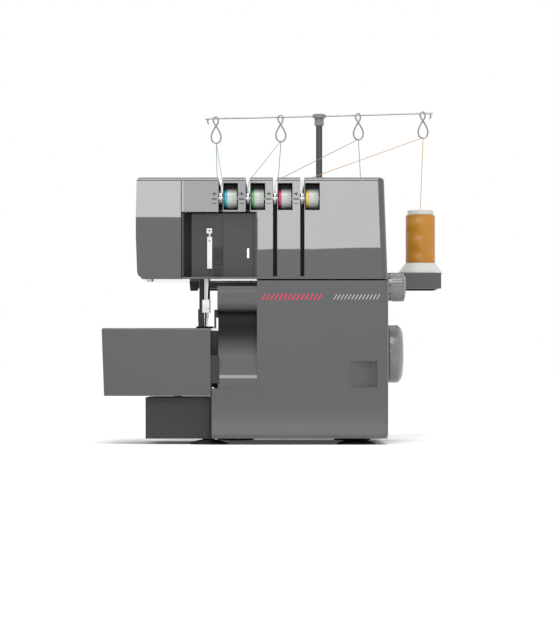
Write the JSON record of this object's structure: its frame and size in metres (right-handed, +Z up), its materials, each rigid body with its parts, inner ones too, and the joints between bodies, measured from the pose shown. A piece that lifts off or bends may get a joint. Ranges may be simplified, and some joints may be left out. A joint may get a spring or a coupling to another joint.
{
  "type": "serger overlock machine",
  "caption": "Domestic four-thread serger with tension dials, swing-out cloth plate, front looper cover, handwheel and a thread stand with a telescoping mast.",
  "frame": {"origin": "centre of the machine's footprint, on the table", "axes": "+X towards the handwheel, +Y towards the spool tray at the back, +Z up"},
  "size_m": [0.3779, 0.28, 0.3806],
  "materials": {
    "casing_grey": "smooth semi-gloss moulded mid-grey plastic",
    "plate_grey": "fine satin grey plastic",
    "recess_dark": "black moulded plastic",
    "feet_rubber": "black rubber",
    "cast_metal": "rough die-cast",
    "steel": "ground and polished steel",
    "bronze": "turned bronze",
    "motor_steel": "black enamelled steel can",
    "black_plastic": "black plastic",
    "belt_rubber": "black ribbed rubber",
    "wheel_grey": "light grey plastic with ribs",
    "dial_teal": "light grey plastic, teal band",
    "dial_green": "light grey plastic, green band",
    "dial_crimson": "light grey plastic, crimson band",
    "dial_gold": "light grey plastic, gold band",
    "white_plastic": "white moulded plastic",
    "thread": "wound polyester thread in four colours",
    "mast_grey": "satin grey tube"
  },
  "bodies": {
    "root": {"base_pan": "casing_grey", "suction_feet": "feet_rubber", "top_cover": "casing_grey", "face_cover": "casing_grey", "arm_underside": "plate_grey", "recess_panel": "recess_dark", "rear_cover": "casing_grey", "hinge_pins": "steel", "needle_plate": "steel", "main_frame": "cast_metal", "bearings": "bronze", "motor": "motor_steel", "drive_belt": "belt_rubber", "presser_spring": "steel", "lower_knife": "steel", "tension_frame": "recess_dark", "tension_posts_and_discs": "steel", "thread_guides": "white_plastic", "switch_housing": "recess_dark", "power_inlet": "recess_dark", "spool_tray": "casing_grey", "spool_pins": "mast_grey", "spools": "white_plastic", "thread_windings": "thread", "mast_tube": "mast_grey", "threads": "thread", "cover_screws": "steel"},
    "drive_shaft": {"main_shaft": "steel", "drive_eccentrics": "steel", "shaft_pulley": "black_plastic", "handwheel": "wheel_grey"},
    "motor_rotor": {"motor_pulley": "black_plastic"},
    "needle_assembly": {"needle_bar": "steel", "needle_clamp": "steel", "needles": "steel"},
    "rocker": {"rocker_shaft": "steel"},
    "drive_rod": {"connecting_rod": "cast_metal"},
    "lower_looper_arm": {"lower_looper": "steel"},
    "upper_looper_arm": {"upper_looper": "steel"},
    "knife_arm": {"upper_knife": "steel"},
    "main_feed": {"main_feed_dog": "steel"},
    "differential_feed": {"differential_feed_dog": "steel"},
    "lifter": {"presser_lifter": "black_plastic"},
    "presser": {"presser_bar": "steel", "presser_ankle": "steel", "presser_foot": "steel"},
    "cover_carriage": {"cover_sleeves": "black_plastic"},
    "front_cover": {"looper_cover": "casing_grey"},
    "cloth_table": {"cloth_plate": "plate_grey"},
    "length_dial": {"stitch_length_dial": "wheel_grey"},
    "dial_1": {"tension_dial_1": "dial_teal"},
    "dial_2": {"tension_dial_2": "dial_green"},
    "dial_3": {"tension_dial_3": "dial_crimson"},
    "dial_4": {"tension_dial_4": "dial_gold"},
    "raised_mast": {"mast": "mast_grey", "mast_cap": "black_plastic", "guide_bar": "steel"},
    "switch_rocker": {"power_switch": "recess_dark"}
  },
  "joints": [
    {"name": "handwheel_turn", "type": "hinge", "parent": "root", "child": "drive_shaft", "pos_m": [0, -0.045, 0.0968], "axis": [1, 0, 0], "continuous": true},
    {"name": "motor_turn", "type": "hinge", "parent": "root", "child": "motor_rotor", "pos_m": [0, 0.006, 0.042], "axis": [1, 0, 0], "continuous": true},
    {"name": "needle_stroke", "type": "slide", "parent": "root", "child": "needle_assembly", "axis": [0, 0, 1], "range_m": [-0.0095, 0.014]},
    {"name": "rocker_swing", "type": "hinge", "parent": "root", "child": "rocker", "pos_m": [0, -0.05, 0.204], "axis": [1, 0, 0], "range_deg": [-20, 14.5]},
    {"name": "drive_rod_slide", "type": "slide", "parent": "root", "child": "drive_rod", "axis": [0, 0, 1], "range_m": [-0.0068, 0.005]},
    {"name": "lower_looper_swing", "type": "hinge", "parent": "root", "child": "lower_looper_arm", "pos_m": [-0.04, 0, 0.04], "axis": [0, 1, 0], "range_deg": [-11.2, 7.8]},
    {"name": "upper_looper_swing", "type": "hinge", "parent": "root", "child": "upper_looper_arm", "pos_m": [-0.028, 0, 0.07], "axis": [0, 1, 0], "range_deg": [-5.2, 7.4]},
    {"name": "knife_swing", "type": "hinge", "parent": "root", "child": "knife_arm", "pos_m": [0, -0.066, 0.14], "axis": [1, 0, 0], "range_deg": [-6.5, 4.6]},
    {"name": "main_feed_slide", "type": "slide", "parent": "root", "child": "main_feed", "axis": [0, 1, 0], "range_m": [-0.0014, 0.0018]},
    {"name": "differential_feed_slide", "type": "slide", "parent": "root", "child": "differential_feed", "axis": [0, 1, 0], "range_m": [-0.0014, 0.002]},
    {"name": "presser_lifter_swing", "type": "hinge", "parent": "root", "child": "lifter", "pos_m": [-0.092, -0.017, 0.205], "axis": [0, 1, 0], "range_deg": [-0.5, 73.5]},
    {"name": "presser_lift", "type": "slide", "parent": "root", "child": "presser", "axis": [0, 0, 1], "range_m": [0, 0.0049], "deforming": ["presser_spring"]},
    {"name": "cover_slide", "type": "slide", "parent": "root", "child": "cover_carriage", "axis": [1, 0, 0], "range_m": [0, 0.009]},
    {"name": "cover_hinge", "type": "hinge", "parent": "cover_carriage", "child": "front_cover", "pos_m": [0, -0.132, 0.014], "axis": [1, 0, 0], "range_deg": [0, 90]},
    {"name": "cloth_plate_swing", "type": "hinge", "parent": "root", "child": "cloth_table", "pos_m": [-0.112, -0.034, 0.1], "axis": [0, 0, -1], "range_deg": [0, 50]},
    {"name": "stitch_length_turn", "type": "hinge", "parent": "root", "child": "length_dial", "pos_m": [0, -0.075, 0.169], "axis": [1, 0, 0], "range_deg": [0, 300]},
    {"name": "tension_1_turn", "type": "hinge", "parent": "root", "child": "dial_1", "pos_m": [0, -0.1274, 0.2618], "axis": [1, 0, 0], "range_deg": [-150, 150]},
    {"name": "tension_2_turn", "type": "hinge", "parent": "root", "child": "dial_2", "pos_m": [0, -0.1274, 0.2618], "axis": [1, 0, 0], "range_deg": [-150, 150]},
    {"name": "tension_3_turn", "type": "hinge", "parent": "root", "child": "dial_3", "pos_m": [0, -0.1274, 0.2618], "axis": [1, 0, 0], "range_deg": [-150, 150]},
    {"name": "tension_4_turn", "type": "hinge", "parent": "root", "child": "dial_4", "pos_m": [0, -0.1274, 0.2618], "axis": [1, 0, 0], "range_deg": [-150, 150]},
    {"name": "mast_slide", "type": "slide", "parent": "root", "child": "raised_mast", "axis": [0, 0, 1], "range_m": [-0.061, 0], "deforming": ["threads"]},
    {"name": "switch_rock", "type": "hinge", "parent": "root", "child": "switch_rocker", "pos_m": [0.1115, 0.032, 0.062], "axis": [0, 1, 0], "range_deg": [-8, 8]}
  ],
  "couplings": [
    {"joint": "motor_turn", "follows": "handwheel_turn", "ratio": 2.6667},
    {"joint": "rocker_swing", "follows": "needle_stroke", "rad_per_m": -23.26},
    {"joint": "drive_rod_slide", "follows": "needle_stroke", "ratio": -0.465},
    {"joint": "lower_looper_swing", "follows": "needle_stroke", "rad_per_m": -13.3},
    {"joint": "upper_looper_swing", "follows": "needle_stroke", "rad_per_m": 8.7},
    {"joint": "knife_swing", "follows": "needle_stroke", "rad_per_m": -7.48},
    {"joint": "main_feed_slide", "follows": "needle_stroke", "ratio": 0.12},
    {"joint": "differential_feed_slide", "follows": "needle_stroke", "ratio": 0.13},
    {"joint": "presser_lifter_swing", "follows": "presser_lift", "rad_per_m": 255}
  ]
}
